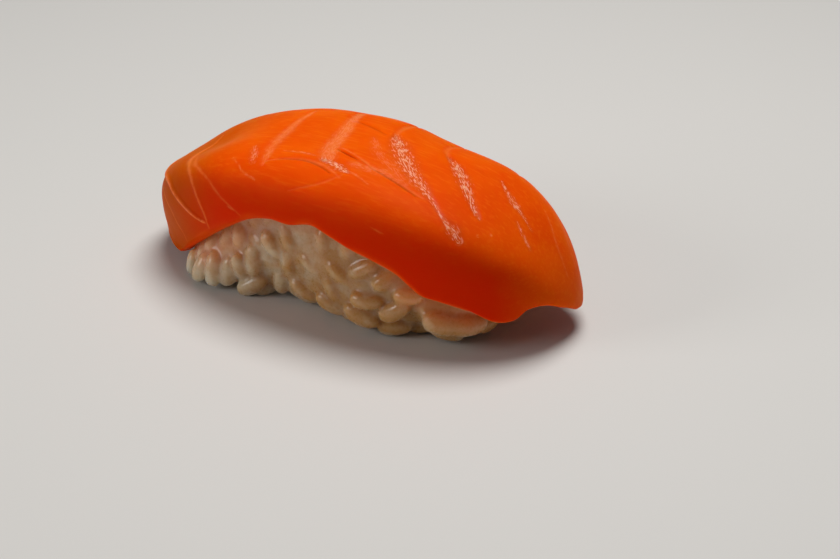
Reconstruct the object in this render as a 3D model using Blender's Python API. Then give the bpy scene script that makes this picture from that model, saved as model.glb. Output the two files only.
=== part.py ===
"""Salmon nigiri: a slice of raw salmon draped over a hand-pressed ball of rice.

Units are metres and +Z is up. X runs along the nigiri, with the end that hoods the rice
at +X, and the open side, where the rice shows most, faces -Y. The origin is at the
bottom centre of the whole. Lengths below are millimetres times MM.
"""
import math
import random

import bmesh
import bpy
from mathutils import Vector

MM = 0.001

# Dome: the outer form of the slice, a boxy superellipsoid with its crest leaning to -Y
DOME_LEFT = 39.2 * MM            # half length towards -X
DOME_RIGHT = 39.1 * MM           # half length towards +X
DOME_HALF_WIDTH = 18.6 * MM
DOME_HEIGHT = 24.3 * MM          # from the waist to the crest
DOME_WAIST = 4.6 * MM            # height of the widest level of the ends
DOME_CENTRE = Vector((0.0, 0.0, DOME_WAIST))
DOME_ACROSS_POWER = 4.0          # boxiness of a section across the length
DOME_ALONG_POWER = 2.2           # boxiness along the length
CREST_LEAN = -5.6 * MM           # sideways shift of the crest
END_RISE = 1.2 * MM              # the +X end sits this much higher, the -X end lower
END_TWIST_LEFT = 1.7 * MM        # slant of the -X end across the width
END_TWIST_RIGHT = 2.0 * MM       # slant of the +X end across the width

# Hollows pressed into the dome: x, y, z of the middle, radius and depth
HOLLOWS = (
    (14.0 * MM, 7.3 * MM, 26.5 * MM, 8.5 * MM, 1.2 * MM),
    (36.0 * MM, 5.0 * MM, 13.5 * MM, 7.0 * MM, 0.7 * MM),
    (-25.5 * MM, -8.5 * MM, 23.2 * MM, 5.5 * MM, 1.2 * MM),
)

# Slice: its hem, as degrees down from the crest, at compass degrees round the dome
# (0 is +X, 90 is +Y, -90 is the open side)
HEM = (
    (-154, 91), (-139, 92), (-131, 84), (-120, 72), (-112, 64), (-106, 59), (-99, 56),
    (-93, 56), (-86, 54), (-80, 57), (-75, 60), (-69, 63), (-63, 67), (-60, 71),
    (-57, 75), (-52, 77), (-45, 80), (-37, 86), (-30, 86), (-24, 82), (-15, 82),
    (-3, 87), (14, 93), (35, 87), (62, 78), (90, 73), (120, 76), (145, 83),
    (170, 89), (190, 91),
)
SLICE_THICK_MIDDLE = 5.6 * MM
SLICE_THICK_LEFT = 2.6 * MM
SLICE_THICK_RIGHT = 3.6 * MM
SLICE_EVEN_SHARE = 0.25          # share of the half length that keeps the middle thickness
HEM_TAPER = 0.2                  # share of the thickness lost towards the long edges
HEM_STEP_BACK = 0.96             # place just inside the hem, to find which way it faces
HEM_BULGE = 0.8 * MM             # how far the rounded hem stands out from its cut
SLICE_CELLS_ALONG = 40
SLICE_CELLS_ACROSS = 24
SLICE_LAYER_GAP = 0.05           # between the flat grids, before they take their form

# Rice ball: a boxy loaf with a flat base, kept under the slice
RICE_CENTRE_X = -0.5 * MM
RICE_CENTRE_Y = -0.9 * MM
RICE_CENTRE_Z = 10.0 * MM
RICE_HALF_LENGTH = 29.0 * MM
RICE_HALF_WIDTH = 15.9 * MM
RICE_RISE = 13.6 * MM            # from the centre to the top
RICE_SINK = 12.0 * MM            # from the centre down; the base cuts it off flat
RICE_PLAN_POWER = 4.4            # boxiness seen from above
RICE_SIDE_POWER = 3.8            # boxiness seen from the side
RICE_CUTS = 17                   # cuts across each side of the starting cube
RICE_CLEARANCE = 0.50 * MM       # room left under the slice
COVER_MARGIN = 5.0               # degrees past the hem where the slice still rules
COVER_FADE = 6.0                 # degrees over which it stops ruling
LEDGE_REACH = 14.0               # degrees past the hem where the rice is smoothed
LEDGE_SMOOTHINGS = 4

# Swellings and hollows of the ball: x, y, z of the middle, radius and depth (- swells)
RICE_LUMPS = (
    (-28.0 * MM, -14.0 * MM, 4.0 * MM, 8.0 * MM, -6.4 * MM),
    (7.0 * MM, -17.0 * MM, 2.0 * MM, 6.5 * MM, -0.8 * MM),
    (19.0 * MM, -15.5 * MM, 2.0 * MM, 5.5 * MM, 2.8 * MM),
    (25.5 * MM, -11.5 * MM, 2.5 * MM, 5.0 * MM, -0.8 * MM),
    (-8.0 * MM, -16.0 * MM, 2.0 * MM, 8.0 * MM, 2.0 * MM),
)

# Grains: the relief of the ball and the stray one at its foot
GRAIN_COUNT = 330
GRAIN_HALF_LENGTH = 3.7 * MM
GRAIN_HALF_WIDTH = 1.9 * MM
GRAIN_RELIEF = 1.2 * MM
GRAIN_SPREAD_ALONG = 1.9         # stretch of their even spread along X
GRAIN_SPREAD_UP = 0.9            # and along Z
GRAIN_JITTER = 0.15              # radians that one may leave its even place
GRAIN_UPRIGHT = 1.4              # how much they favour standing up
GRAIN_SEED = 11
STRAY_CENTRE = Vector((-12.3, -13.1, 1.5)) * MM
STRAY_HALF_WIDTH = 1.55 * MM
STRAY_HALF_HEIGHT = 1.35 * MM
STRAY_TURN = math.radians(55)

SALMON_COLOUR = (0.80, 0.12, 0.012, 1.0)
SALMON_ROUGHNESS = 0.35
RICE_COLOUR = (0.72, 0.66, 0.52, 1.0)
RICE_ROUGHNESS = 0.45
SHARP_ANGLE = math.radians(50)


def clear_scene():
    for item in list(bpy.data.objects):
        bpy.data.objects.remove(item, do_unlink=True)


def make_material(name, colour, roughness):
    material = bpy.data.materials.new(name)
    material.use_nodes = True
    shader = material.node_tree.nodes["Principled BSDF"]
    shader.inputs["Base Color"].default_value = colour
    shader.inputs["Roughness"].default_value = roughness
    shader.inputs["Metallic"].default_value = 0.0
    return material


def ease(value):
    """A smooth step from 0 to 1."""
    value = min(max(value, 0.0), 1.0)
    return value * value * (3.0 - 2.0 * value)


def hem_angle(compass):
    """Degrees from the crest down to the hem, a smooth curve through HEM."""
    compass = (compass - HEM[0][0]) % 360.0 + HEM[0][0]
    count = len(HEM)

    def knot(index):
        turns, place = divmod(index, count)
        return HEM[place][0] + 360.0 * turns, HEM[place][1]

    for index in range(count):
        (x1, y1), (x2, y2) = knot(index), knot(index + 1)
        if x1 <= compass <= x2:
            (x0, y0), (x3, y3) = knot(index - 1), knot(index + 2)
            slope1 = (y2 - y0) / (x2 - x0)
            slope2 = (y3 - y1) / (x3 - x1)
            return hermite((compass - x1) / (x2 - x1), x2 - x1, y1, y2, slope1, slope2)
    return HEM[0][1]


def hermite(step, span, start, end, slope1, slope2):
    """Cubic from start to end with the given slopes at its two ends."""
    square, cube = step * step, step * step * step
    return (
        start * (2 * cube - 3 * square + 1)
        + end * (3 * square - 2 * cube)
        + span * slope1 * (cube - 2 * square + step)
        + span * slope2 * (cube - square)
    )


def dome_direction(side, across):
    """Ray from the dome's centre for a place on the slice, each from -1 to 1."""
    flat_x = side * math.sqrt(1.0 - across * across / 2.0)
    flat_y = across * math.sqrt(1.0 - side * side / 2.0)
    compass = math.atan2(flat_y, flat_x)
    down = math.radians(hem_angle(math.degrees(compass))) * math.hypot(flat_x, flat_y)
    return Vector(
        (math.sin(down) * math.cos(compass), math.sin(down) * math.sin(compass), math.cos(down))
    )


def dome_level(scaled):
    """1 on the unit dome, less inside it, for a point in dome units."""
    across = abs(scaled.y) ** DOME_ACROSS_POWER + abs(scaled.z) ** DOME_ACROSS_POWER
    along = abs(scaled.x) ** DOME_ALONG_POWER
    return (across ** (DOME_ALONG_POWER / DOME_ACROSS_POWER) + along) ** (1.0 / DOME_ALONG_POWER)


def press_in(point, spots, centre):
    """Move a point towards the centre where a hollow lies, and outwards on a swelling."""
    outward = (point - centre).normalized()
    moved = point.copy()
    for x, y, z, radius, depth in spots:
        reach = (point - Vector((x, y, z))).length / radius
        moved -= outward * depth * math.exp(-reach * reach)
    return moved


def dome_point(ray, inset):
    """Where a ray from the centre meets the dome, made smaller by the inset all round."""
    ray = Vector((ray.x, ray.y, ray.z * DOME_HEIGHT / (DOME_HEIGHT - inset)))
    unit = ray / dome_level(ray)
    half_length = (DOME_LEFT if unit.x < 0.0 else DOME_RIGHT) - inset
    twist = END_TWIST_LEFT if unit.x < 0.0 else END_TWIST_RIGHT
    point = Vector(
        (
            half_length * unit.x + twist * unit.y * unit.x * unit.x,
            (DOME_HALF_WIDTH - inset) * unit.y + CREST_LEAN * max(unit.z, 0.0),
            DOME_WAIST + (DOME_HEIGHT - inset) * unit.z + END_RISE * unit.x,
        )
    )
    return press_in(point, HOLLOWS, DOME_CENTRE)


def slice_thickness(along, across):
    """Thick in the middle, thinner to the ends (along, -1 to 1) and the long edges (across)."""
    end = SLICE_THICK_LEFT if along < 0.0 else SLICE_THICK_RIGHT
    towards_end = ease((abs(along) - SLICE_EVEN_SHARE) / (1.0 - SLICE_EVEN_SHARE))
    thick = SLICE_THICK_MIDDLE + (end - SLICE_THICK_MIDDLE) * towards_end
    return thick * (1.0 - HEM_TAPER * across ** 4)


def slice_point(side, across, depth):
    """A point of the slice, from its outer face at depth 0 to its underside at depth 1."""
    ray = dome_direction(side, across)
    along = ray.x / dome_level(ray)
    return dome_point(ray, slice_thickness(along, across) * depth)


def verts_of(geometry):
    return [item for item in geometry if isinstance(item, bmesh.types.BMVert)]


def edges_of(geometry):
    return [item for item in geometry if isinstance(item, bmesh.types.BMEdge)]


def build_slice():
    """Outer and inner faces of the slice from one grid, closed by a rounded hem."""
    bm = bmesh.new()
    bmesh.ops.create_grid(
        bm, x_segments=SLICE_CELLS_ALONG, y_segments=SLICE_CELLS_ACROSS, size=1.0
    )
    outer = list(bm.verts)
    outer_rim = [edge for edge in bm.edges if edge.is_boundary]
    rim_verts = [vert for vert in outer if vert.is_boundary]
    under = bmesh.ops.duplicate(bm, geom=bm.verts[:] + bm.edges[:] + bm.faces[:])["geom"]
    ring = bmesh.ops.duplicate(bm, geom=rim_verts + outer_rim)["geom"]
    bmesh.ops.reverse_faces(bm, faces=[f for f in under if isinstance(f, bmesh.types.BMFace)])
    bmesh.ops.translate(bm, verts=verts_of(ring), vec=(0.0, 0.0, -SLICE_LAYER_GAP))
    bmesh.ops.translate(bm, verts=verts_of(under), vec=(0.0, 0.0, -2.0 * SLICE_LAYER_GAP))
    inner_rim = [edge for edge in edges_of(under) if edge.is_boundary]
    bmesh.ops.bridge_loops(bm, edges=outer_rim + edges_of(ring))
    bmesh.ops.bridge_loops(bm, edges=edges_of(ring) + inner_rim)
    place_slice_verts(outer, verts_of(under), verts_of(ring))
    bmesh.ops.recalc_face_normals(bm, faces=bm.faces)
    return bm


def place_slice_verts(outer, inner, middle):
    places = {vert: (vert.co.x, vert.co.y) for vert in outer + inner + middle}
    for vert in outer:
        vert.co = slice_point(*places[vert], 0.0)
    for vert in inner:
        vert.co = slice_point(*places[vert], 1.0)
    for vert in middle:
        side, across = places[vert]
        lip = slice_point(side, across, 0.5)
        inside = slice_point(side * HEM_STEP_BACK, across * HEM_STEP_BACK, 0.5)
        vert.co = lip + (lip - inside).normalized() * HEM_BULGE


def to_dome_units(point, inset):
    """A point in units of the dome, made smaller by the inset, measured from its centre."""
    half_length = (DOME_LEFT if point.x < 0.0 else DOME_RIGHT) - inset
    along = point.x / half_length
    up = (point.z - DOME_WAIST - END_RISE * along) / (DOME_HEIGHT - inset)
    across = (point.y - CREST_LEAN * max(up, 0.0)) / (DOME_HALF_WIDTH - inset)
    return Vector((along, across, up))


def past_hem(unit):
    """Degrees below the hem for a point in dome units."""
    compass = math.degrees(math.atan2(unit.y, unit.x))
    down = math.degrees(math.atan2(math.hypot(unit.x, unit.y), unit.z))
    return down - hem_angle(compass)


def on_ledge(point):
    return 0.0 < past_hem(to_dome_units(point, SLICE_THICK_RIGHT)) < LEDGE_REACH


def cover_weight(unit):
    """1 under the slice, 0 well past its hem."""
    return 1.0 - ease((past_hem(unit) - COVER_MARGIN) / COVER_FADE)


def keep_under_slice(point):
    """Draw a point of the rice in until it clears the underside of the slice."""
    along = point.x / (DOME_LEFT if point.x < 0.0 else DOME_RIGHT)
    inset = slice_thickness(along, 0.0) + RICE_CLEARANCE
    unit = to_dome_units(point, inset)
    weight = cover_weight(unit)
    shrink = 1.0 + (1.0 / max(dome_level(unit), 1.0) - 1.0) * weight
    drawn = DOME_CENTRE + (point - DOME_CENTRE) * shrink
    return drawn.lerp(press_in(drawn, HOLLOWS, DOME_CENTRE), weight)


def loaf_point(ray):
    """Where a ray from the middle of the rice meets its loaf."""
    half = Vector((RICE_HALF_LENGTH, RICE_HALF_WIDTH, RICE_RISE if ray.z > 0.0 else RICE_SINK))
    plan = abs(ray.x / half.x) ** RICE_PLAN_POWER + abs(ray.y / half.y) ** RICE_PLAN_POWER
    side = plan ** (RICE_SIDE_POWER / RICE_PLAN_POWER) + abs(ray.z / half.z) ** RICE_SIDE_POWER
    return ray / side ** (1.0 / RICE_SIDE_POWER)


def make_grains():
    """Places and lie of the grains spread evenly over the loaf, each turned at random."""
    chance = random.Random(GRAIN_SEED)
    golden = math.pi * (3.0 - math.sqrt(5.0))
    grains = []
    for index in range(GRAIN_COUNT):
        height = 1.0 - 2.0 * (index + 0.5) / GRAIN_COUNT
        ring = math.sqrt(1.0 - height * height)
        turn = golden * index + chance.uniform(-GRAIN_JITTER, GRAIN_JITTER)
        along = ring * math.cos(turn) * GRAIN_SPREAD_ALONG
        centre = loaf_point(Vector((along, ring * math.sin(turn), height * GRAIN_SPREAD_UP)))
        lie = Vector([chance.gauss(0.0, 1.0) for _ in range(3)])
        lie.z *= GRAIN_UPRIGHT
        outward = centre.normalized()
        lie = (lie - outward * lie.dot(outward)).normalized()
        grains.append((centre, lie, outward.cross(lie)))
    return grains


def grain_relief(point, grains):
    """Height of the highest grain over this point, from 0 to 1."""
    best = 0.0
    for centre, lie, across in grains:
        offset = point - centre
        if offset.length > GRAIN_HALF_LENGTH:
            continue
        long_part = offset.dot(lie) / GRAIN_HALF_LENGTH
        cross_part = offset.dot(across) / GRAIN_HALF_WIDTH
        room = 1.0 - long_part * long_part - cross_part * cross_part
        if room > 0.0:
            best = max(best, math.sqrt(room))
    return best


def build_rice():
    """A cube divided finely, blown up to the loaf, given its relief and its flat base."""
    bm = bmesh.new()
    bmesh.ops.create_cube(bm, size=2.0)
    bmesh.ops.subdivide_edges(bm, edges=bm.edges[:], cuts=RICE_CUTS, use_grid_fill=True)
    grains = make_grains()
    middle = Vector((RICE_CENTRE_X, RICE_CENTRE_Y, RICE_CENTRE_Z))
    for vert in bm.verts:
        even = Vector([math.tan(value * math.pi / 4.0) for value in vert.co])
        ray = Vector((even.x * RICE_HALF_LENGTH, even.y * RICE_HALF_WIDTH, even.z * RICE_RISE))
        surface = loaf_point(ray)
        drop = GRAIN_RELIEF * (1.0 - grain_relief(surface, grains))
        point = press_in(middle + surface - surface.normalized() * drop, RICE_LUMPS, middle)
        point = keep_under_slice(point)
        point.z = max(point.z, 0.0)
        vert.co = point
    soften_ledge(bm)
    bmesh.ops.recalc_face_normals(bm, faces=bm.faces)
    return bm


def soften_ledge(bm):
    """Round the ledge where the rice comes out from under the hem."""
    ledge = [vert for vert in bm.verts if vert.co.z > 0.0 and on_ledge(vert.co)]
    for _ in range(LEDGE_SMOOTHINGS):
        bmesh.ops.smooth_vert(
            bm, verts=ledge, factor=0.5, use_axis_x=True, use_axis_y=True, use_axis_z=True
        )


def build_stray_grain():
    """One grain lying at the foot of the ball."""
    bm = bmesh.new()
    bmesh.ops.create_icosphere(bm, subdivisions=3, radius=1.0)
    for vert in bm.verts:
        x, y, z = vert.co
        local = Vector((x * GRAIN_HALF_LENGTH, y * STRAY_HALF_WIDTH, z * STRAY_HALF_HEIGHT))
        turned = Vector(
            (
                local.x * math.cos(STRAY_TURN) - local.y * math.sin(STRAY_TURN),
                local.x * math.sin(STRAY_TURN) + local.y * math.cos(STRAY_TURN),
                local.z,
            )
        )
        vert.co = STRAY_CENTRE + turned
    return bm


def make_object(name, bm, material):
    mesh = bpy.data.meshes.new(name)
    bm.to_mesh(mesh)
    bm.free()
    mesh.materials.append(material)
    mesh.shade_smooth()
    mesh.set_sharp_from_angle(angle=SHARP_ANGLE)
    item = bpy.data.objects.new(name, mesh)
    bpy.context.scene.collection.objects.link(item)
    return item


def join_by_union(item, other):
    """Boolean union of a second shape, which stays as a hidden guide."""
    other.hide_render = True
    other.display_type = "WIRE"
    union = item.modifiers.new("Join stray grain", "BOOLEAN")
    union.operation = "UNION"
    union.solver = "EXACT"
    union.object = other


def centre_on_base(items):
    """Move the meshes so that the bottom centre of their box is the origin."""
    points = [vert.co for item in items for vert in item.data.vertices]
    low = Vector([min(point[axis] for point in points) for axis in range(3)])
    high = Vector([max(point[axis] for point in points) for axis in range(3)])
    shift = Vector((-(low.x + high.x) / 2.0, -(low.y + high.y) / 2.0, -low.z))
    for item in items:
        for vert in item.data.vertices:
            vert.co += shift


def main():
    clear_scene()
    salmon = make_material("salmon_flesh", SALMON_COLOUR, SALMON_ROUGHNESS)
    cooked = make_material("cooked_rice", RICE_COLOUR, RICE_ROUGHNESS)
    slice_item = make_object("salmon_slice", build_slice(), salmon)
    rice_item = make_object("rice_ball", build_rice(), cooked)
    stray = make_object("stray_grain_guide", build_stray_grain(), cooked)
    join_by_union(rice_item, stray)
    centre_on_base([slice_item, rice_item, stray])


main()
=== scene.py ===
import math
import random

import bmesh
import bpy
from mathutils import Matrix, Vector, kdtree, noise
from mathutils.bvhtree import BVHTree


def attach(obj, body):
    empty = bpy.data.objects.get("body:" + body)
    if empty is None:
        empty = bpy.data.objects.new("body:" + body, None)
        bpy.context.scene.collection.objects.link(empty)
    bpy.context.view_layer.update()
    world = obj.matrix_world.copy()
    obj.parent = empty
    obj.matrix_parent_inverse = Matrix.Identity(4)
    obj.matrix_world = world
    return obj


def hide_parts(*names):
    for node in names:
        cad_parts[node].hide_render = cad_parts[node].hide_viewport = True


# Salmon nigiri: a slice of raw salmon over a hand-pressed ball of rice.
# Lengths in the dictionaries are millimetres, angles are degrees.
# X runs along the nigiri, and -Y is the open side, where the rice shows most.

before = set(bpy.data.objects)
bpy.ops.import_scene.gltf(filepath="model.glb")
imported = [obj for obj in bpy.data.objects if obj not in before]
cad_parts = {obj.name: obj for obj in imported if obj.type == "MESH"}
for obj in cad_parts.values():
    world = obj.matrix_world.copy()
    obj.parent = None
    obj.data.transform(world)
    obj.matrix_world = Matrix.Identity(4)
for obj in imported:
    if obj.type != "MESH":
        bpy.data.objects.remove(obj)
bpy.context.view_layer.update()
mm = 0.001


# ---- small helpers

def hexToLinear(code):
    shades = [int(code[place:place + 2], 16) / 255.0 for place in (1, 3, 5)]
    linear = [s / 12.92 if s <= 0.04045 else ((s + 0.055) / 1.055) ** 2.4 for s in shades]
    return (*linear, 1.0)


def addNode(tree, kind, inputs=None, **settings):
    node = tree.nodes.new(kind)
    for name, value in settings.items():
        setattr(node, name, value)
    for name, value in (inputs or {}).items():
        if isinstance(value, bpy.types.NodeSocket):
            tree.links.new(value, node.inputs[name])
        else:
            node.inputs[name].default_value = value
    return node


def ease(value):
    value = min(max(value, 0.0), 1.0)
    return value * value * (3.0 - 2.0 * value)


def vertsOf(geometry):
    return [item for item in geometry if isinstance(item, bmesh.types.BMVert)]


def edgesOf(geometry):
    return [item for item in geometry if isinstance(item, bmesh.types.BMEdge)]


def facesOf(geometry):
    return [item for item in geometry if isinstance(item, bmesh.types.BMFace)]


def newPiece(name, bm, material):
    mesh = bpy.data.meshes.new(name)
    bm.to_mesh(mesh)
    bm.free()
    mesh.materials.append(material)
    mesh.shade_smooth()
    piece = bpy.data.objects.new(name, mesh)
    bpy.context.scene.collection.objects.link(piece)
    return piece


# ---- form of the slice: a boxy dome whose crest leans to the open side

sliceForm = {
    "origin": (0.1, 2.2, 0.0),     # from the object's middle to the dome's
    "halfLeft": 39.2,
    "halfRight": 39.1,
    "halfWidth": 18.6,
    "height": 24.3,                # from the waist to the crest
    "waist": 4.6,                  # level at which the ends are widest
    "acrossPower": 4.0,            # boxiness of a section across the length
    "alongPower": 2.2,             # boxiness along the length
    "crestLean": -5.6,
    "endRise": 1.2,
    "twistLeft": 1.7,
    "twistRight": 2.0,
    "thickMiddle": 5.6,
    "thickLeft": 2.6,
    "thickRight": 3.6,
    "evenShare": 0.25,             # share of the half length with the middle thickness
    "hemTaper": 0.45,
    "hemBulge": 0.6,               # how far the rounded cut edge stands out
    "hemSquareness": 2.6,
    "hemRings": 5,
    "glowStripWidth": 1.1,               # the painted light strip along the hem, standing in for light through the thin cut edge
    "cellsAlong": 320,
    "cellsAcross": 190,
    "underAlong": 80,              # the hidden underside is coarser
    "underAcross": 48,
    # hollows: x, y, z, radius and depth
    "hollows": [
        (14.0, 7.3, 26.5, 8.5, 1.2),
        (36.0, 5.0, 13.5, 7.0, 0.7),
        (-25.5, -8.5, 23.2, 5.5, 1.2),
    ],
    # hem: compass degrees round the dome (0 is +X, -90 the open side), degrees down from the crest
    "hem": [
        (-154, 91), (-139, 92), (-131, 84), (-120, 72), (-112, 64), (-106, 59), (-99, 56),
        (-93, 56), (-86, 54), (-80, 57), (-75, 60), (-69, 63), (-63, 67), (-60, 71),
        (-57, 75), (-52, 77), (-45, 80), (-37, 86), (-30, 86), (-24, 82), (-15, 82),
        (-3, 87), (14, 93), (35, 87), (62, 78), (90, 73), (120, 76), (145, 83),
        (170, 89), (190, 91),
    ],
    "unevenness": [(9.0, 0.16), (2.6, 0.035)],   # size and height of the flesh's soft swells
}


def hermite(step, span, start, end, slopeStart, slopeEnd):
    square, cube = step * step, step ** 3
    return (
        start * (2 * cube - 3 * square + 1)
        + end * (3 * square - 2 * cube)
        + span * slopeStart * (cube - 2 * square + step)
        + span * slopeEnd * (cube - square)
    )


def hemAngle(compass):
    hem = sliceForm["hem"]
    compass = (compass - hem[0][0]) % 360.0 + hem[0][0]

    def knot(index):
        turns, place = divmod(index, len(hem))
        return hem[place][0] + 360.0 * turns, hem[place][1]

    index = 0
    while knot(index + 1)[0] < compass:
        index += 1
    (x0, y0), (x1, y1), (x2, y2), (x3, y3) = [knot(index + shift) for shift in (-1, 0, 1, 2)]
    slopeStart, slopeEnd = (y2 - y0) / (x2 - x0), (y3 - y1) / (x3 - x1)
    return hermite((compass - x1) / (x2 - x1), x2 - x1, y1, y2, slopeStart, slopeEnd)


def domeRay(side, across):
    # side and across run from -1 to 1 over the whole slice, hem to hem
    flatX = side * math.sqrt(1.0 - across * across / 2.0)
    flatY = across * math.sqrt(1.0 - side * side / 2.0)
    compass = math.atan2(flatY, flatX)
    down = math.radians(hemAngle(math.degrees(compass))) * math.hypot(flatX, flatY)
    ring = math.sin(down)
    return Vector((ring * math.cos(compass), ring * math.sin(compass), math.cos(down)))


def domeLevel(unit):
    power, along = sliceForm["acrossPower"], sliceForm["alongPower"]
    across = abs(unit.y) ** power + abs(unit.z) ** power
    return (across ** (along / power) + abs(unit.x) ** along) ** (1.0 / along)


def domePoint(ray, inset):
    form = sliceForm
    ray = Vector((ray.x, ray.y, ray.z * form["height"] / (form["height"] - inset)))
    unit = ray / domeLevel(ray)
    halfLength = (form["halfLeft"] if unit.x < 0.0 else form["halfRight"]) - inset
    twist = form["twistLeft"] if unit.x < 0.0 else form["twistRight"]
    point = Vector((
        halfLength * unit.x + twist * unit.y * unit.x * unit.x,
        (form["halfWidth"] - inset) * unit.y + form["crestLean"] * max(unit.z, 0.0),
        form["waist"] + (form["height"] - inset) * unit.z + form["endRise"] * unit.x,
    ))
    outward = (point - Vector((0.0, 0.0, form["waist"]))).normalized()
    moved = point.copy()
    for x, y, z, radius, depth in form["hollows"]:
        reach = (point - Vector((x, y, z))).length / radius
        moved -= outward * depth * math.exp(-reach * reach)
    return moved


def ontoDome(point):
    # carries a point near the dome to its outer face
    form = sliceForm
    along = point.x / (form["halfLeft"] if point.x < 0.0 else form["halfRight"])
    up = (point.z - form["waist"] - form["endRise"] * along) / form["height"]
    across = (point.y - form["crestLean"] * max(up, 0.0)) / form["halfWidth"]
    return domePoint(Vector((along, across, up)), 0.0)


def thicknessAt(along, across):
    form = sliceForm
    end = form["thickLeft"] if along < 0.0 else form["thickRight"]
    towardsEnd = ease((abs(along) - form["evenShare"]) / (1.0 - form["evenShare"]))
    thick = form["thickMiddle"] + (end - form["thickMiddle"]) * towardsEnd
    return thick * (1.0 - form["hemTaper"] * across ** 4)


def slicePoint(side, across, depth):
    ray = domeRay(side, across)
    return domePoint(ray, thicknessAt(ray.x / domeLevel(ray), across) * depth)


# ---- fat lines and creases, as routes over the slice: x, y, z and half width at each point

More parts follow.
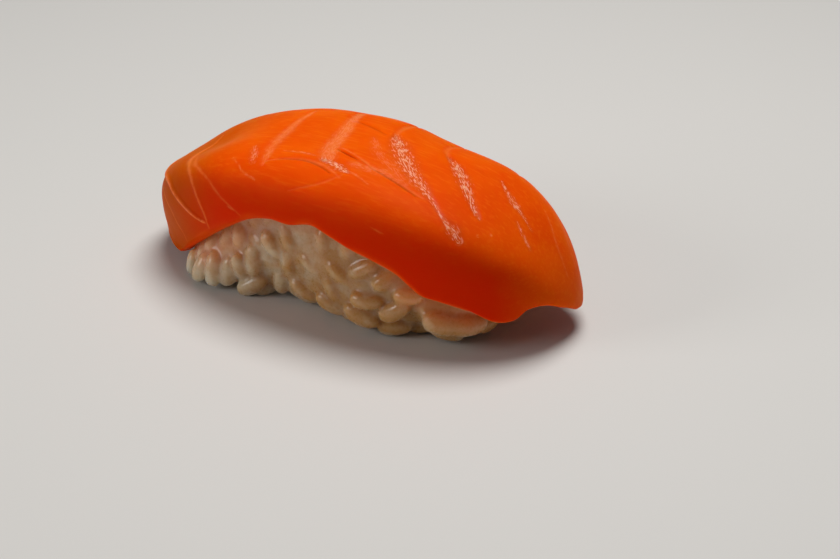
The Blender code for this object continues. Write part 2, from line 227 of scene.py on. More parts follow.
fatLines = [
    {   # first broad band, left of the crest
        "pale": 0.32, "wet": 0.10, "groove": 0.12, "soft": 1.0,
        "route": [(-13.2, 4, 26.8, 0.6), (-13, 1.5, 27.5, 1.0), (-12.7, -2, 27.6, 1.5),
                  (-12, -6, 27.8, 1.9), (-11, -11, 28, 2.0), (-10.1, -14, 27.8, 1.8),
                  (-9.5, -16, 27.4, 1.3), (-9.1, -17.4, 26.9, 0.7)],
    },
    {   # wet flecks left of its foot
        "pale": 0.15, "wet": 0.35, "groove": 0.04, "soft": 1.0,
        "route": [(-13.8, -12.8, 27.4, 0.8), (-12.6, -15, 27.3, 1.6), (-11.2, -17.2, 26.8, 0.9)],
    },
    {   # second broad band
        "pale": 0.36, "wet": 0.14, "groove": 0.18, "soft": 0.8,
        "route": [(-5.2, 7, 27.6, 0.8), (-5, 5.5, 28, 1.2), (-3.9, 1.5, 28.5, 1.8),
                  (-2.6, -3, 28.8, 2.2), (-1.7, -7, 28.8, 2.4), (-0.6, -10.5, 28.8, 2.6),
                  (0.6, -12.8, 28.8, 2.3)],
    },
    {   # its wet lower arm
        "pale": 0.35, "wet": 1.0, "groove": 0.12, "soft": 1.0,
        "route": [(0, -13.2, 28.7, 1.0), (2.6, -14, 28.7, 1.4), (4.4, -14.5, 28.6, 1.4),
                  (6, -15, 28.4, 0.5)],
    },
    {   # hazy patch right of that arm
        "pale": 0.16, "wet": 0.15, "groove": 0.03, "soft": 1.0,
        "route": [(5, -12.6, 28.8, 1.6), (8, -12.3, 28.6, 2.4), (11.5, -11.8, 28.3, 2.2),
                  (15, -12.3, 27.6, 0.9)],
    },
    {   # third band, the brightest
        "pale": 0.30, "wet": 0.88, "groove": 0.20, "soft": 1.0,
        "route": [(5.2, 0.6, 28.8, 0.7), (6.2, -0.8, 28.8, 2.0),
                  (8.4, -3.2, 28.8, 3.0), (11.2, -6.3, 28.4, 3.1), (14.3, -8.9, 27.9, 2.5),
                  (18.1, -11.3, 27, 1.7), (20.3, -12.6, 26.2, 0.9), (22.3, -13.8, 25.1, 0.6),
                  (24.1, -14.3, 24, 1.2), (25.6, -14.6, 22.9, 2.2), (27, -14.9, 21.8, 1.1)],
    },
    {   # its faint start over the crest
        "pale": 0.30, "wet": 0.0, "groove": 0.25, "soft": 1.0,
        "route": [(4.6, 9.5, 26, 0.7), (4.6, 5.6, 27.9, 0.9), (4.7, 3, 28.5, 0.9),
                  (5.2, 0.8, 28.8, 0.8), (6.2, -0.8, 28.8, 0.5)],
    },
    {   # hazy margin on its left
        "pale": 0.06, "wet": 0.14, "groove": 0.0, "soft": 1.0,
        "route": [(3, -3, 28.9, 1.2), (7, -7.3, 28.8, 2.2), (12, -10.4, 28.3, 1.7),
                  (16, -11.9, 27.3, 0.8)],
    },
    {   # fourth band
        "pale": 0.30, "wet": 1.0, "groove": 0.20, "soft": 1.0,
        "route": [(15.6, 0.5, 27.7, 0.7), (18, -1.5, 27.2, 1.7),
                  (20, -3.3, 26.7, 2.1), (21.6, -5, 26.2, 2.1), (23.1, -6.6, 25.5, 1.7),
                  (24.7, -8.1, 24.8, 1.2), (26.2, -9.2, 24, 1.0), (27.2, -9.8, 23.3, 0.4)],
    },
    {
        "pale": 0.25, "wet": 0.0, "groove": 0.25, "soft": 1.0,
        "route": [(13.4, 9, 24.5, 0.7), (13.4, 5, 27, 0.8), (14.2, 2.4, 27.8, 0.8),
                  (15.7, 0.5, 27.7, 0.7), (17, -0.7, 27.4, 0.5)],
    },
    {   # fifth band, fainter
        "pale": 0.35, "wet": 0.8, "groove": 0.10, "soft": 1.0,
        "route": [(24.5, 1.2, 25, 0.4), (26.8, -0.6, 24, 0.9), (28.6, -1.6, 22.9, 1.4),
                  (30.6, -2.2, 21.4, 0.5), (32.6, -3, 19.8, 0.4)],
    },
    {   # flecks below it
        "pale": 0.2, "wet": 0.5, "groove": 0.03, "soft": 1.0,
        "route": [(30.5, -4.2, 21.5, 0.6), (32.2, -5.1, 20.1, 0.9), (34, -5.7, 18, 0.7)],
    },
    {   # faint lines along the hooded end
        "pale": 0.25, "wet": 0.1, "groove": 0.06, "soft": 1.0,
        "route": [(31.5, 3.2, 20.8, 0.3), (33.5, 1.8, 19, 0.5), (35.6, 0.4, 16.7, 0.5),
                  (37, 0, 14, 0.4), (38, 0, 11.5, 0.3)],
    },
    {
        "pale": 0.18, "wet": 0.1, "groove": 0.05, "soft": 1.0,
        "route": [(32, 6.6, 18.7, 0.3), (34, 5.6, 17.5, 0.4), (36.2, 3.8, 15.2, 0.4),
                  (38, 3.2, 11.5, 0.3)],
    },
    {   # four thin lines at the thin end, the outermost a ridge
        "pale": 0.60, "wet": 0.1, "groove": -0.35, "soft": 1.0,
        "route": [(-37.5, -1, 17, 0.3), (-36.6, -6, 17, 0.6), (-34.5, -11, 16.5, 0.9),
                  (-31.1, -14.4, 17, 0.9), (-29, -15.9, 16.3, 0.8),
                  (-26.8, -17, 15.5, 0.75), (-24.7, -17.7, 14.7, 0.7), (-22.4, -18.3, 14.1, 0.6),
                  (-20.3, -18.8, 13.9, 0.4)],
    },
    {
        "pale": 0.42, "wet": 0.0, "groove": -0.1, "soft": 1.0,
        "route": [(-29.6, -4, 23.5, 0.3), (-28.6, -8.5, 23.2, 0.6), (-27.2, -13.2, 22, 1.5),
                  (-26, -15.2, 21.6, 1.1), (-24.3, -17.1, 21, 0.8),
                  (-22.6, -18.3, 19.6, 0.75), (-21.3, -18.9, 17.8, 0.7), (-20.3, -19.1, 16, 0.6),
                  (-19.5, -19, 13, 0.4)],
    },
    {
        "pale": 0.28, "wet": 0.0, "groove": 0.04, "soft": 1.0,
        "route": [(-27.4, -12, 22.8, 0.3), (-25, -15.3, 22.6, 1.0), (-23.4, -16.4, 22.6, 0.7), (-19.5, -18.5, 22.3, 0.5),
                  (-17.1, -19.6, 21.2, 0.55), (-15.1, -20.2, 20.2, 0.45), (-11.3, -20.8, 18.5, 0.3)],
    },
    {
        "pale": 0.30, "wet": 0.0, "groove": 0.03, "soft": 1.0,
        "route": [(-37, -7, 14.6, 0.3), (-34.5, -12, 14, 0.4), (-33, -13.5, 12.6, 0.5), (-30.9, -14.6, 11.4, 0.5),
                  (-29.5, -15, 9.6, 0.45), (-27.8, -15.4, 8.2, 0.45), (-27, -15.4, 6.5, 0.3)],
    },
    {   # short stroke below the first band
        "pale": 0.38, "wet": 0.1, "groove": 0.04, "soft": 1.0,
        "route": [(-15.9, -16.1, 26, 0.5), (-13.9, -17.5, 25.9, 0.3), (-12.2, -18.6, 25.5, 0.45),
                  (-10.4, -19.2, 25.4, 0.45), (-8.9, -19.6, 25.2, 0.3)],
    },
    # thin seams between the bands, where the layers of flesh meet
    {
        "pale": 0.34, "wet": 0.0, "groove": 0.10, "soft": 1.0,
        "route": [(-9.5, -16.6, 27.3, 0.3), (-6.5, -15.4, 28, 0.5), (-3.2, -14.6, 28.5, 0.7),
                  (0.1, -14.7, 28.6, 0.7), (3.2, -15.6, 28.5, 0.5), (5.5, -16.6, 28, 0.3)],
    },
    {
        "pale": 0.20, "wet": 0.2, "groove": 0.08, "soft": 1.0,
        "route": [(-7.5, -13.2, 28.2, 0.3), (-4.6, -12.8, 28.6, 0.6), (-1.4, -12.8, 28.8, 0.4)],
    },
    {
        "pale": 0.38, "wet": 0.0, "groove": 0.16, "soft": 1.0,
        "route": [(0.6, -8.5, 28.9, 0.4), (4, -9.7, 28.9, 0.5), (8.2, -11.5, 28.7, 0.55),
                  (11, -12, 28.4, 0.6), (14, -12.5, 27.9, 0.5), (17, -13, 27.2, 0.45),
                  (19.5, -13.2, 26.4, 0.3)],
    },
    {
        "pale": 0.28, "wet": 0.1, "groove": 0.08, "soft": 1.0,
        "route": [(5.9, -14.5, 28.5, 0.35), (8.1, -15.1, 28.3, 0.5), (10.5, -15.9, 27.9, 0.3)],
    },
    {
        "pale": 0.22, "wet": 0.0, "groove": 0.08, "soft": 1.0,
        "route": [(5.3, -15.8, 28.3, 0.4), (3.4, -18, 27.5, 0.5), (0.9, -19.2, 26.6, 0.45),
                  (-2.5, -20.2, 25.3, 0.3)],
    },
    # nicks on the open side, and specks of fat
    {
        "pale": 0.45, "groove": 0.05,
        "route": [(13.2, -19.7, 22.7, 0.2), (14.4, -19.8, 22.6, 0.35), (16, -19.8, 22.3, 0.2)],
    },
    {
        "pale": 0.45, "groove": 0.05,
        "route": [(-14.6, -20.4, 19.4, 0.2), (-13.6, -20.5, 19.2, 0.35), (-12.4, -20.6, 18.9, 0.2)],
    },
    {
        "pale": 1.0, "groove": -0.1,
        "route": [(29.4, -10.3, 21.6, 0.35), (29.9, -10.5, 21.4, 0.35)],
    },
    {
        "pale": 1.0, "groove": -0.1,
        "route": [(28.1, -12.2, 21.9, 0.3), (28.6, -12.4, 21.7, 0.3)],
    },
    {
        "pale": 1.0, "groove": -0.1,
        "route": [(-20.8, -18.8, 14.1, 0.45), (-20.1, -18.8, 13.9, 0.45)],
    },
    # cracks where layers have parted, darkened with painted shade in the groove
    {
        "crackShade": 0.75, "groove": 0.35,
        "route": [(0.2, -9.3, 28.9, 0.2), (2.2, -10, 28.9, 0.4), (3.6, -10.4, 28.9, 0.45),
                  (5.2, -10.9, 28.9, 0.2)],
    },
    {
        "crackShade": 0.6, "groove": 0.30,
        "route": [(8.5, -11.9, 28.6, 0.2), (11.5, -12.4, 28.3, 0.4), (13.6, -12.8, 27.9, 0.4),
                  (15.6, -13.1, 27.4, 0.35), (18.2, -13.5, 26.8, 0.2)],
    },
    {
        "crackShade": 0.5, "groove": 0.25,
        "route": [(-7.2, -15.6, 27.9, 0.2), (-4.3, -14.9, 28.3, 0.35), (-1.8, -14.7, 28.5, 0.4),
                  (0.9, -15.3, 28.5, 0.4), (3.4, -16.2, 28.2, 0.2)],
    },
    {
        "crackShade": 0.4, "groove": 0.20,
        "route": [(-3.5, 1.6, 28.6, 0.2), (-1.3, 1.0, 28.8, 0.35), (1.6, 0.2, 28.9, 0.35),
                  (4.3, -0.8, 28.9, 0.2)],
    },
    # the bands' other halves, down the closed side
    {
        "pale": 0.5, "wet": 0.15, "groove": 0.14, "soft": 1.0,
        "route": [(-14, 8.5, 25, 0.7), (-15, 12, 22, 1.3), (-16.5, 15, 17.5, 1.3),
                  (-18.5, 16, 13, 0.5)],
    },
    {
        "pale": 0.55, "wet": 0.25, "groove": 0.18, "soft": 1.0,
        "route": [(-5.6, 11, 25.5, 0.9), (-6.5, 14, 22, 1.6), (-8, 16.5, 17, 1.5),
                  (-10.5, 17.5, 11.5, 0.6)],
    },
    {
        "pale": 0.65, "wet": 0.8, "groove": 0.2, "soft": 0.9,
        "route": [(4.6, 9.5, 26, 0.8), (4, 13, 22.5, 1.7), (2.5, 16, 17.5, 1.4),
                  (0, 17.5, 11.5, 0.6)],
    },
    {
        "pale": 0.6, "wet": 0.8, "groove": 0.2, "soft": 0.9,
        "route": [(13.4, 9, 24.5, 0.8), (13.4, 12.5, 21, 1.4), (12.5, 15.5, 16, 1.2),
                  (10.5, 17, 11, 0.5)],
    },
    {
        "pale": 0.4, "wet": 0.5, "groove": 0.12, "soft": 1.0,
        "route": [(22.6, 7, 22.5, 0.6), (22, 11, 19, 1.0), (20.5, 14, 14.5, 0.9),
                  (18.5, 15.5, 10.5, 0.4)],
    },
]

routeStep = 0.2


def routeSamples(route):
    # Catmull-Rom through the route's points, each laid onto the dome
    knots = [Vector(point) for point in route]
    knots = [2 * knots[0] - knots[1]] + knots + [2 * knots[-1] - knots[-2]]
    samples = []
    for before, start, end, after in zip(knots, knots[1:], knots[2:], knots[3:]):
        count = max(int((end - start).xyz.length / routeStep), 2)
        for place in range(count):
            mix = place / count
            spot = hermite(mix, 1.0, start, end, (end - before) / 2.0, (after - start) / 2.0)
            samples.append((ontoDome(spot.xyz), max(spot.w, 0.05)))
    return samples


def routeFinder(route):
    samples = routeSamples(route)
    tree = kdtree.KDTree(len(samples))
    for index, (spot, _) in enumerate(samples):
        tree.insert(spot, index)
    tree.balance()
    return tree, samples


def placeOnRoute(point, normal, finder):
    # half widths off the route's middle, the signed distance off it, and the run along it
    tree, samples = finder
    spot, index, distance = tree.find(point)
    ahead = samples[min(index + 1, len(samples) - 1)][0] - samples[max(index - 1, 0)][0]
    side = 1.0 if ahead.cross(normal).dot(point - spot) > 0.0 else -1.0
    reach = distance / samples[index][1]
    return reach, distance * side, index * routeStep


# ---- the slice's mesh

sliceMarks = ("fat", "cover", "wet", "crackShade", "flankShade", "tail", "rim", "run", "across")


def gridSheet(bm, cellsX, cellsY):
    made = bmesh.ops.create_grid(bm, x_segments=cellsX, y_segments=cellsY, size=1.0)["verts"]
    rim = {edge for vert in made for edge in vert.link_edges if edge.is_boundary}
    return made, list(rim)


def hemRing(bm, rimVerts, rimEdges):
    ring = bmesh.ops.duplicate(bm, geom=rimVerts + rimEdges)["geom"]
    return vertsOf(ring), edgesOf(ring)


def buildSlice(material):
    form = sliceForm
    bm = bmesh.new()
    for name in sliceMarks:
        bm.verts.layers.float.new(name)
    outer, rimEdges = gridSheet(bm, form["cellsAlong"], form["cellsAcross"])
    rimVerts = [vert for vert in outer if vert.is_boundary]
    rings = [hemRing(bm, rimVerts, rimEdges) for _ in range(form["hemRings"])]
    under, underRim = gridSheet(bm, form["underAlong"], form["underAcross"])
    places = {vert: (vert.co.x, vert.co.y) for vert in bm.verts}
    loops = [rimEdges] + [edges for _, edges in rings] + [underRim]
    for vert in outer:
        vert.co = slicePoint(*places[vert], 0.0)
    for vert in under:
        vert.co = slicePoint(*places[vert], 1.0)
    for number, (verts, _) in enumerate(rings, start=1):
        depth = number / (form["hemRings"] + 1)
        squareness = form["hemSquareness"]
        bulge = form["hemBulge"] * (1.0 - abs(2.0 * depth - 1.0) ** squareness) ** (1 / squareness)
        for vert in verts:
            side, across = places[vert]
            lip = slicePoint(side, across, depth)
            inside = slicePoint(side * 0.96, across * 0.96, depth)
            vert.co = lip + (lip - inside).normalized() * bulge
    for first, second in zip(loops, loops[1:]):
        bmesh.ops.bridge_loops(bm, edges=first + second)
    bmesh.ops.recalc_face_normals(bm, faces=bm.faces)
    bm.normal_update()
    markSlice(bm, outer, places)
    bmesh.ops.scale(bm, vec=(mm, mm, mm), verts=bm.verts)
    bmesh.ops.translate(bm, vec=Vector(form["origin"]) * mm, verts=bm.verts)
    return newPiece("salmon_flesh", bm, material)


def markSlice(bm, outer, places):
    # sinks or raises the lines, and notes on each vertex what the material needs
    layers = {name: bm.verts.layers.float[name] for name in sliceMarks}
    fatFinders = [(line, routeFinder(line["route"])) for line in fatLines]
    hemSpan = sliceForm["halfWidth"] + sliceForm["glowStripWidth"] * 4.0
    moves = {}
    for vert in outer:
        point = vert.co.copy()
        rise = sum(
            height * noise.noise(point / size) for size, height in sliceForm["unevenness"]
        )
        fat = wet = crackShade = nearest = 0.0
        for line, finder in fatFinders:
            reach, across, run = placeOnRoute(point, vert.normal, finder)
            if reach < 1.0:
                cover = ease((1.0 - reach) / line.get("soft", 1.0))
                fat = max(fat, line.get("pale", 0.0) * cover)
                wet = max(wet, line.get("wet", 0.0) * cover)
                crackShade = max(crackShade, line.get("crackShade", 0.0) * cover)
                rise -= line["groove"] * (1.0 - reach * reach) ** 2
                if cover > nearest and "pale" in line:
                    nearest = cover
                    vert[layers["run"]], vert[layers["across"]] = run, across
                    vert[layers["cover"]] = cover
        ray = domeRay(*places[vert])
        unit = ray / domeLevel(ray)
        section = (unit.y ** 4 + unit.z ** 4) ** 0.25
        sideways = abs(unit.y) / max(section, 1e-6)
        vert[layers["fat"]] = fat
        vert[layers["wet"]] = wet
        vert[layers["crackShade"]] = crackShade
        # flankShade: the sides get a deeper red, painted shade that partly stands for the flesh's own deeper tone
        # there
        vert[layers["flankShade"]] = ease((sideways - 0.72) / 0.28) * (1.0 - ease((abs(unit.x) - 0.8) / 0.2))
        vert[layers["tail"]] = ease((-unit.x - 0.36) / 0.44)
        side, across = [abs(value) for value in places[vert]]
        toHem = min((1.0 - side) * sliceForm["halfRight"], (1.0 - across) * hemSpan)
        # rim: a painted glow along the hem, lighter flesh where light would shine through the thin edge
        vert[layers["rim"]] = 1.0 - ease(toHem / sliceForm["glowStripWidth"])
        moves[vert] = vert.normal * rise
    for vert, move in moves.items():
        vert.co += move
    # off the outer face, the cut edge and the underside get part of the painted side shade and the full painted
    # edge glow
    for vert in bm.verts:
        if vert not in moves:
            vert[layers["flankShade"]] = 0.6
            vert[layers["rim"]] = 1.0


# ---- cooked rice: grains pressed together over a core

riceForm = {
    "coreInset": 0.3,
    "fused": ((0.0, -14.0, 10.5), 9.0, 0.45),   # where the grains have run together most
    "fusedPatch": (8.0, 0.4),                   # size of such patches elsewhere, and how full
    "hemReach": 4.0,               # the rice presses outwards this near the fish
    "hemPress": 1.5,
    "grainHalf": (3.15, 1.64, 1.5),
    "grainTilt": 7.0,
    # room between the spines of two grains, and how far a middle lies under the ball's face
    "layers": [
        {"tries": 6000, "room": 2.5, "sink": 0.8},
        {"tries": 6000, "room": 1.7, "sink": 1.3},
    ],
    "upright": 1.0,
    "uprightLeft": 3.0,            # grains near the thin end mostly stand
    "uprightUpTo": -12.0,
    "hiddenUnder": 5.0,            # no grains where the slice covers the ball this far in
    "sliceGap": 0.15,
    "voxel": 0.26,
    "melt": 5,                     # smoothing passes, which make the grains sticky
    "keptShare": 0.5,              # share of the faces kept, most of them where the shape turns
    "seed": 7,
    # painted glow on the rice near the fish, standing in for light passed through the flesh
    "glowFull": 2.5,               # how near the fish the rice has all of the painted glow
    "glowReach": 6.5,              # and how far off it has none
    "glowFrom": 1.0,               # the foot of the ball has none either
    "glowTo": 6.0,
    # grains that stand out: middle, direction, size and how deep each one sits
    "standingOut": [
        ((-27.8, -9.6, 1.6), (-0.6, 0.7, 0.3), 0.7, 0.7),
        ((-24.9, -10.8, 6.2), (0.6, 0.0, 1.0), 0.8, 0.3),
        ((-22.4, -11.6, 8.0), (0.2, 0.0, 1.0), 0.85, 0.3),
        ((-19.4, -12.0, 9.4), (0.4, 0.0, 1.0), 0.85, 0.3),
        ((-16.6, -12.4, 11.0), (-0.1, 0.0, 1.0), 0.9, 0.3),
        ((-27.2, -12.4, 2.3), (-0.4, 0.0, 1.0), 0.75, 0.5),
        ((-23.9, -14.2, 3.4), (0.04, 0.0, 1.0), 0.95, 0.6),
        ((-20.9, -14.5, 3.8), (-0.12, 0.0, 1.0), 1.03, 0.5),
        ((-18.0, -14.4, 3.8), (0.18, 0.0, 1.0), 0.97, 0.8),
        ((-15.6, -14.0, 5.0), (-0.1, 0.0, 1.0), 0.95, 0.6),
        ((-13.0, -13.9, 7.0), (0.0, 0.0, 1.0), 1.0, 0.8),
        ((10.2, -14.6, 6.9), (1.0, 0.0, 0.03), 0.98, 0.4),
        ((8.7, -14.3, 3.3), (0.95, 0.0, -0.28), 1.12, 0.6),
        ((15.0, -13.5, 5.9), (0.8, 0.1, 0.6), 1.05, 0.3),
        ((17.4, -13.2, 9.2), (0.98, 0.0, 0.18), 0.88, 0.5),
        ((19.2, -12.4, 5.2), (0.3, -0.9, 0.25), 0.78, 1.5),
        ((23.2, -11.8, 5.0), (0.97, 0.1, -0.12), 1.2, 0.5),
        ((26.5, -9.2, 4.6), (0.45, 0.88, -0.1), 1.1, 0.4),
        ((14.0, -11.9, 1.7), (0.97, 0.2, 0.0), 1.0, 0.4),
        ((27.8, -4.2, 2.8), (0.3, 0.95, 0.1), 0.9, 0.6),
        ((-8.7, -12.0, 3.4), (0.2, 0.0, 1.0), 0.95, 0.6),
        ((-3.6, -12.8, 3.6), (0.9, 0.0, -0.4), 1.0, 0.7),
        ((2.4, -13.9, 3.4), (0.9, 0.0, -0.3), 1.0, 0.7),
    ],
    # the grain lying loose at the foot
    "stray": ((-12.0, -11.1, 1.1), (0.57, 0.82, 0.0), 0.76),
}


def grainInto(bm, centre, lie, outward, size):
    made = bmesh.ops.create_icosphere(bm, subdivisions=2, radius=1.0)["verts"]
    across = outward.cross(lie).normalized()
    outward = lie.cross(across).normalized()
    turn = Matrix((lie, across, outward)).transposed()
    half = riceForm["grainHalf"]
    for vert in made:
        x, y, z = vert.co
        plump = 1.0 - 0.14 * x + 0.25 * x * x
        bend = 0.08 * half[0] * (x * x - 0.3)
        local = Vector((x * half[0], y * half[1] * plump + bend, z * half[2] * plump)) * size
        vert.co = centre + turn @ local


def riceCore():
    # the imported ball, merged, in millimetres
    bm = bmesh.new()
    bm.from_mesh(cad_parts["rice_ball"].data)
    bmesh.ops.scale(bm, vec=(1 / mm, 1 / mm, 1 / mm), verts=bm.verts)
    bmesh.ops.remove_doubles(bm, verts=bm.verts, dist=0.001)
    for _ in range(2):
        bmesh.ops.smooth_vert(
            bm, verts=bm.verts, factor=0.5, use_axis_x=True, use_axis_y=True, use_axis_z=True
        )
    bm.normal_update()
    return bm


def spine(spot, lie, size):
    # three points down a grain's length, to tell how near another grain lies
    reach = (riceForm["grainHalf"][0] - riceForm["grainHalf"][1]) * size
    return [spot + lie * reach * share for share in (-1.0, 0.0, 1.0)]


def roomFor(points, taken, room):
    longest = 2.0 * riceForm["grainHalf"][0]
    for others in taken:
        if (others[1] - points[1]).length < longest:
            if min((one - other).length for one in points for other in others) < room:
                return False
    return True


def layGrains(core, sliceTree, chance):
    # grains that lie whole on the ball first, then others tucked in between them
    form = riceForm
    grains = []
    for spot, lie, size, sink in form["standingOut"]:
        spot = Vector(spot)
        outward = BVHTree.FromBMesh(core).find_nearest(spot)[1]
        grains.append((spot, Vector(lie).normalized(), outward, size, sink))
    taken = [spine(spot, lie, size) for spot, lie, _, size, _ in grains]
    faces = [face for face in core.faces if face.normal.z > -0.75]
    areas = [face.calc_area() for face in faces]
    for layer in form["layers"]:
        for face in chance.choices(faces, weights=areas, k=layer["tries"]):
            corners = [vert.co for vert in face.verts]
            first, second = sorted((chance.random(), chance.random()))
            spot = corners[0] * first + corners[1] * (second - first) + corners[2] * (1.0 - second)
            outward = face.normal.copy()
            lie = Vector([chance.gauss(0.0, 1.0) for _ in range(3)])
            lie.z *= form["uprightLeft"] if spot.x < form["uprightUpTo"] else form["upright"]
            lie = (lie - outward * lie.dot(outward)).normalized()
            size = chance.uniform(0.92, 1.06)
            if spot.z < 0.5:
                continue
            if not roomFor(spine(spot, lie, size), taken, layer["room"]):
                continue
            hit = sliceTree.ray_cast(spot * mm, outward, form["hiddenUnder"] * mm)
            if hit[0] is not None and spot.z > 16.0:
                continue
            taken.append(spine(spot, lie, size))
            grains.append((spot, lie, outward, size, layer["sink"]))
    return grains


def pressGrain(bm, spot, lie, outward, size, sink):
    lie = (lie - outward * lie.dot(outward) * 0.8).normalized()
    across = outward.cross(lie).normalized()
    centre = spot - outward * sink
    axes = (lie, across, lie.cross(across))
    drop = Vector([axis.z * half for axis, half in zip(axes, riceForm["grainHalf"])]).length
    centre.z = max(centre.z, drop * size)
    grainInto(bm, centre, lie, outward, size)


def buildRice(material, slicePiece):
    form = riceForm
    chance = random.Random(form["seed"])
    sliceBm = bmesh.new()
    sliceBm.from_mesh(slicePiece.data)
    sliceTree = BVHTree.FromBMesh(sliceBm)
    sliceBm.free()
    core = riceCore()
    grains = layGrains(core, sliceTree, chance)
    bm = bmesh.new()
    for spot, lie, outward, size, sink in grains:
        tilt = Matrix.Rotation(math.radians(chance.gauss(0.0, form["grainTilt"])), 3, lie.cross(outward))
        pressGrain(bm, spot, tilt @ lie, outward, size, sink)
    spot, lie, size = form["stray"]
    grainInto(bm, Vector(spot), Vector(lie).normalized(), Vector((0.0, 0.0, 1.0)), size)
    print("rice grains placed:", len(grains) + 1)
    middle, radius, fill = form["fused"]
    patch, patchFill = form["fusedPatch"]
    for vert in core.verts:
        full = fill * math.exp(-(vert.co - Vector(middle)).length_squared / radius ** 2)
        full += patchFill * noise.noise(vert.co / patch)
        toFish = sliceTree.find_nearest(vert.co * mm)[3] / mm
        full += form["hemPress"] * (1.0 - ease(toFish / form["hemReach"]))
        vert.co -= vert.normal * (form["coreInset"] - full)
    coreMesh = bpy.data.meshes.new("core")
    core.to_mesh(coreMesh)
    core.free()
    bm.from_mesh(coreMesh)
    bpy.data.meshes.remove(coreMesh)
    bmesh.ops.scale(bm, vec=(mm, mm, mm), verts=bm.verts)
    piece = newPiece("sticky_rice", bm, material)
    fuseRice(piece)
    settleRice(piece, sliceTree)
    return piece


def fuseRice(piece):
    remesh = piece.modifiers.new("Press grains together", "REMESH")
    remesh.mode = "VOXEL"
    remesh.voxel_size = riceForm["voxel"] * mm
    remesh.use_smooth_shade = True
    smooth = piece.modifiers.new("Sticky surface", "SMOOTH")
    smooth.factor = 0.5
    smooth.iterations = riceForm["melt"]
    thin = piece.modifiers.new("Fewer faces", "DECIMATE")
    thin.ratio = riceForm["keptShare"]
    ready = piece.evaluated_get(bpy.context.evaluated_depsgraph_get())
    mesh = bpy.data.meshes.new_from_object(ready)
    piece.modifiers.clear()
    piece.data = mesh
    mesh.shade_smooth()


def settleRice(piece, sliceTree):
    # flat on the table, clear of the fish, and given a painted orange glow where the fish lies on it, for light
    # passed through the flesh
    names = ("sliceGap", "glowFull", "glowReach", "glowFrom", "glowTo")
    gap, near, far, low, high = [riceForm[name] * mm for name in names]
    bm = bmesh.new()
    bm.from_mesh(piece.data)
    fishGlow = bm.verts.layers.float.new("fishGlow")
    for vert in bm.verts:
        spot, normal, _, distance = sliceTree.find_nearest(vert.co)
        if (vert.co - spot).dot(normal) < 0.0 or distance < gap:
            vert.co = spot + normal * gap
            distance = gap
        vert.co.z = max(vert.co.z, 0.0)
        # fishGlow: painted glow near the fish, none at the foot
        nearby = 1.0 - ease((distance - near) / (far - near))
        vert[fishGlow] = nearby * ease((vert.co.z - low) / (high - low))
    bm.to_mesh(piece.data)
    bm.free()


# ---- materials

def newMaterial(name):
    material = bpy.data.materials.new(name)
    material.use_nodes = True
    tree = material.node_tree
    return material, tree, tree.nodes["Principled BSDF"]


def attribute(tree, name):
    return addNode(tree, "ShaderNodeAttribute", attribute_name=name).outputs["Fac"]


def mathNode(tree, operation, first, second, clamp=False):
    return addNode(
        tree, "ShaderNodeMath", {0: first, 1: second}, operation=operation, use_clamp=clamp
    ).outputs[0]


def mixColour(tree, factor, first, second):
    return addNode(
        tree, "ShaderNodeMix", {0: factor, 6: first, 7: second}, data_type="RGBA"
    ).outputs[2]


def mapRange(tree, value, low, high, lowOut, highOut):
    return addNode(
        tree, "ShaderNodeMapRange", {0: value, 1: low, 2: high, 3: lowOut, 4: highOut}
    ).outputs[0]


def noiseAt(tree, place, size, detail, roughness=0.5):
    # size is the noise's grain in millimetres, on coordinates in metres
    return addNode(
        tree, "ShaderNodeTexNoise",
        {"Vector": place, "Scale": 1.0 / (size * mm), "Detail": detail, "Roughness": roughness},
    ).outputs["Fac"]


salmonLook = {
    "top": "#EC5601",
    "topDeep": "#E64A00",
    "fibreLight": "#F4741C",
    # painted shade: deeper red for the sides, partly the flesh's own tone there
    "flankShade": "#DE2600",
    "tail": "#B64C00",
    # colour of the painted glow along the thin cut edge
    "rim": "#E8560C",
    "fat": "#F4803E",
    # near-white strands on the wet fat: the fat's own pale strands brightened into painted highlights
    "fatGlint": "#FFCDB0",
    "gap": "#C83406",
    # dark colour for the painted shade in the cracks
    "crackShade": "#A82400",
    "roughness": 0.50,
    "wetRoughness": 0.30,
    "scatterRadius": (1.0, 0.22, 0.05),
    "scatterScale": 1.8,           # mm that red light travels in the flesh
    "fibre": 0.55,                 # mm across a muscle fibre
    "sparkle": 0.24,               # mm across a wet facet on the fat
    "strokeWidth": 0.22,           # mm across a torn strand of fat
    "strokeLength": 1.0,
}


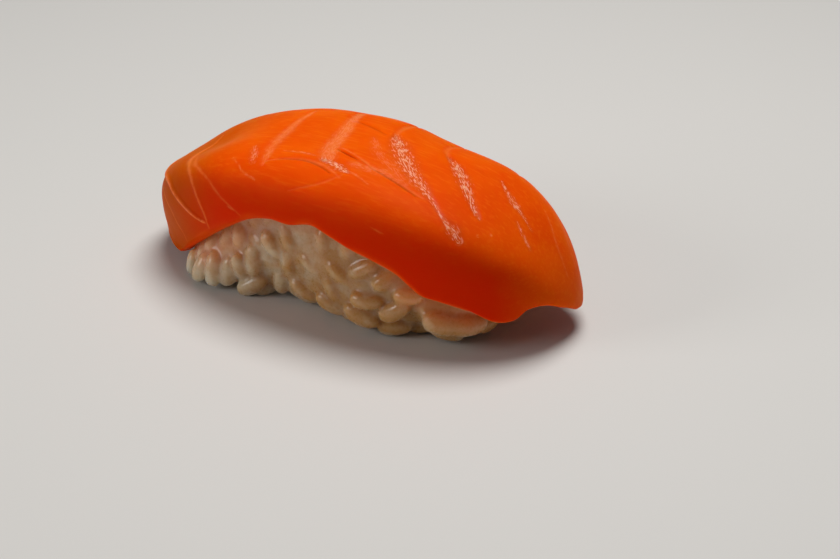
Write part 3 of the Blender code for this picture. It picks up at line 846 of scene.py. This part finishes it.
def rawSalmon():
    # raw salmon, cut with a wet knife: translucent orange flesh with a satin sheen, and soft
    # pale fat whose broken, wet surface glints, partly as painted highlights in the colour
    look = salmonLook
    material, tree, shader = newMaterial("rawSalmon")
    place = addNode(tree, "ShaderNodeTexCoord").outputs["Object"]
    lengthwise = addNode(tree, "ShaderNodeMapping", {"Vector": place, "Scale": (0.12, 1.0, 1.0)})
    lengthwise = lengthwise.outputs[0]
    fat, cover, wet, crackShade, flankShade, tail, rim, run, across = [attribute(tree, name) for name in sliceMarks]
    blotch = noiseAt(tree, place, 7.0, 2.0)
    fibre = noiseAt(tree, lengthwise, look["fibre"], 3.0)
    ragged = noiseAt(tree, place, 1.1, 4.0, 0.65)
    sparkle = noiseAt(tree, place, look["sparkle"], 2.0, 0.7)
    alongBand = addNode(tree, "ShaderNodeCombineXYZ",
                        {0: mathNode(tree, "DIVIDE", run, look["strokeLength"]),
                         1: mathNode(tree, "DIVIDE", across, look["strokeWidth"])}).outputs[0]
    streak = addNode(tree, "ShaderNodeTexNoise",
                     {"Vector": alongBand, "Scale": 1.0, "Detail": 2.0, "Roughness": 0.5})
    streak = streak.outputs["Fac"]

    flesh = mixColour(tree, mapRange(tree, blotch, 0.35, 0.65, 0.0, 1.0),
                      hexToLinear(look["top"]), hexToLinear(look["topDeep"]))
    flesh = mixColour(tree, mapRange(tree, fibre, 0.5, 0.75, 0.0, 0.35), flesh,
                      hexToLinear(look["fibreLight"]))
    # painted shade: the sides turn deeper red
    flesh = mixColour(tree, flankShade, flesh, hexToLinear(look["flankShade"]))
    flesh = mixColour(tree, mathNode(tree, "MULTIPLY", tail, 0.85), flesh, hexToLinear(look["tail"]))
    # painted edge glow: the hem is lighter, less so at the thin end
    paintedEdgeGlow = mathNode(tree, "MULTIPLY", rim, mapRange(tree, blotch, 0.35, 0.65, 0.05, 0.5))
    paintedEdgeGlow = mathNode(tree, "MULTIPLY", paintedEdgeGlow, mapRange(tree, tail, 0.0, 1.0, 1.0, 0.2))
    flesh = mixColour(tree, paintedEdgeGlow, flesh, hexToLinear(look["rim"]))
    torn = mathNode(tree, "ADD", cover, mapRange(tree, ragged, 0.3, 0.7, -0.4, 0.4))
    fatCover = mathNode(tree, "MULTIPLY", fat, mapRange(tree, torn, 0.0, 0.9, 0.0, 1.3), clamp=True)
    colour = mixColour(tree, fatCover, flesh, hexToLinear(look["fat"]))
    dense = mathNode(tree, "ADD", streak, mapRange(tree, torn, 0.0, 1.3, -0.15, 0.12))
    # painted highlights: bright strokes on the wet fat, partly its pale strands and partly painted glints; they
    # also raise the bump
    glintStrokes = mathNode(tree, "MULTIPLY", wet, mapRange(tree, dense, 0.54, 0.62, 0.0, 0.62))
    gaps = mathNode(tree, "MULTIPLY", wet, mapRange(tree, dense, 0.44, 0.54, 0.6, 0.0))
    colour = mixColour(tree, gaps, colour, hexToLinear(look["gap"]))
    colour = mixColour(tree, glintStrokes, colour, hexToLinear(look["fatGlint"]))
    # painted shade in the cracks
    colour = mixColour(tree, crackShade, colour, hexToLinear(look["crackShade"]))
    tree.links.new(colour, shader.inputs["Base Color"])

    rough = mapRange(tree, wet, 0.0, 1.0, look["roughness"], look["wetRoughness"])
    rough = mathNode(tree, "ADD", rough, mapRange(tree, blotch, 0.3, 0.7, -0.04, 0.04))
    tree.links.new(rough, shader.inputs["Roughness"])

    fibreBump = addNode(tree, "ShaderNodeBump",
                        {"Strength": 0.25, "Distance": 0.12 * mm, "Height": fibre})
    glint = mathNode(tree, "ADD", mathNode(tree, "MULTIPLY", sparkle, wet), glintStrokes)
    glintBump = addNode(tree, "ShaderNodeBump",
                        {"Strength": 1.0, "Distance": 0.08 * mm, "Height": glint,
                         "Normal": fibreBump.outputs[0]})
    tree.links.new(glintBump.outputs[0], shader.inputs["Normal"])
    tree.links.new(mathNode(tree, "MULTIPLY", wet, 0.25), shader.inputs["Coat Weight"])
    tree.links.new(glintBump.outputs[0], shader.inputs["Coat Normal"])
    shader.inputs["Coat Roughness"].default_value = 0.18
    shader.inputs["Specular IOR Level"].default_value = 0.15
    shader.inputs["IOR"].default_value = 1.15
    tree.links.new(mapRange(tree, wet, 0.0, 0.8, 1.0, 0.45), shader.inputs["Subsurface Weight"])
    shader.inputs["Subsurface Radius"].default_value = look["scatterRadius"]
    shader.inputs["Subsurface Scale"].default_value = look["scatterScale"] * mm
    return material


riceLook = {
    "grain": "#D6C6AC",
    "grainShadedWarm": "#BC8C54",
    "shadeFrom": -34.0,             # mm along the ball over which the rice turns warmer and darker, a painted shade toward +X
    "shadeTo": 4.0,
    "fishGlowColour": "#EC9C62",
    "roughness": 0.30,
    "scatterRadius": (1.0, 0.82, 0.6),
    "scatterScale": 6.0,
}


def steamedRice():
    # steamed short-grain rice: ivory and translucent, slightly sticky, with a painted orange glow near the fish
    # and painted shade toward +X
    look = riceLook
    material, tree, shader = newMaterial("steamedRice")
    place = addNode(tree, "ShaderNodeTexCoord").outputs["Object"]
    fishGlow = attribute(tree, "fishGlow")
    cloud = noiseAt(tree, place, 3.0, 2.0)
    pores = noiseAt(tree, place, 0.45, 3.0)
    along = addNode(tree, "ShaderNodeSeparateXYZ", {0: place}).outputs["X"]
    # painted shade: the rice darker and warmer toward +X, with random warm patches from noise
    warmAndShade = mathNode(tree, "ADD", mapRange(tree, cloud, 0.35, 0.65, -0.3, 0.3),
                    mapRange(tree, along, look["shadeFrom"] * mm, look["shadeTo"] * mm, 0.0, 1.0),
                    clamp=True)
    colour = mixColour(tree, warmAndShade, hexToLinear(look["grain"]), hexToLinear(look["grainShadedWarm"]))
    # painted glow of light through the fish onto the rice
    colour = mixColour(tree, mathNode(tree, "MULTIPLY", fishGlow, 0.65), colour,
                       hexToLinear(look["fishGlowColour"]))
    tree.links.new(colour, shader.inputs["Base Color"])
    rough = mapRange(tree, pores, 0.3, 0.7, look["roughness"] - 0.1, look["roughness"] + 0.1)
    tree.links.new(rough, shader.inputs["Roughness"])
    bump = addNode(tree, "ShaderNodeBump", {"Strength": 0.2, "Distance": 0.1 * mm, "Height": pores})
    tree.links.new(bump.outputs[0], shader.inputs["Normal"])
    shader.inputs["Subsurface Weight"].default_value = 1.0
    shader.inputs["Subsurface Radius"].default_value = look["scatterRadius"]
    shader.inputs["Subsurface Scale"].default_value = look["scatterScale"] * mm
    shader.inputs["IOR"].default_value = 1.4
    shader.inputs["Coat Weight"].default_value = 0.35
    shader.inputs["Coat Roughness"].default_value = 0.14
    return material


# ---- table, lights and camera

studio = {
    "table": "#DAD7D2",
    "tableHalf": 1.5,              # metres
    "camera": (176.9, -269.9, 185.9),
    "aim": (7.6, 6.5, 0.0),
    "lens": 93.3,
    "keyPlace": (25.0, 70.0, 430.0),
    "keySize": 240.0,
    "keyPower": 1.6,
    "fillPlace": (-330.0, -400.0, 230.0),
    "fillSize": 260.0,
    "fillPower": 0.8,
    "sky": 0.08,
}


def buildStage():
    material, tree, shader = newMaterial("matteTable")
    shader.inputs["Base Color"].default_value = hexToLinear(studio["table"])
    shader.inputs["Roughness"].default_value = 0.7
    bm = bmesh.new()
    bmesh.ops.create_grid(bm, x_segments=1, y_segments=1, size=studio["tableHalf"])
    floor = newPiece("table_top", bm, material)


def aimAt(item, place, target):
    item.location = place
    item.rotation_euler = (target - place).to_track_quat("-Z", "Y").to_euler()


def addLight(name, place, size, power):
    light = bpy.data.lights.new(name, "AREA")
    light.shape = "DISK"
    light.size = size * mm
    light.energy = power
    item = bpy.data.objects.new(name, light)
    bpy.context.scene.collection.objects.link(item)
    aimAt(item, Vector(place) * mm, Vector((0.0, 0.0, 0.012)))


def buildCamera():
    camera = bpy.data.cameras.new("camera")
    camera.lens = studio["lens"]
    camera.clip_start = 0.01
    item = bpy.data.objects.new("camera", camera)
    bpy.context.scene.collection.objects.link(item)
    aimAt(item, Vector(studio["camera"]) * mm, Vector(studio["aim"]) * mm)
    bpy.context.scene.camera = item


def buildSky():
    world = bpy.data.worlds.new("studio")
    world.use_nodes = True
    world.node_tree.nodes["Background"].inputs[0].default_value = (1.0, 1.0, 1.0, 1.0)
    world.node_tree.nodes["Background"].inputs[1].default_value = studio["sky"]
    bpy.context.scene.world = world


# ---- the whole

print("slice of salmon")
slicePiece = buildSlice(rawSalmon())
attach(slicePiece, "root")
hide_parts("salmon_slice")

print("ball of rice")
ricePiece = buildRice(steamedRice(), slicePiece)
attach(ricePiece, "root")
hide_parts("rice_ball")

print("studio")
buildStage()
addLight("key", studio["keyPlace"], studio["keySize"], studio["keyPower"])
addLight("fill", studio["fillPlace"], studio["fillSize"], studio["fillPower"])
buildCamera()
buildSky()
bpy.context.scene.view_settings.view_transform = "Standard"

for piece in (slicePiece, ricePiece):
    piece.data.calc_loop_triangles()
    print(piece.name, "triangles:", len(piece.data.loop_triangles))
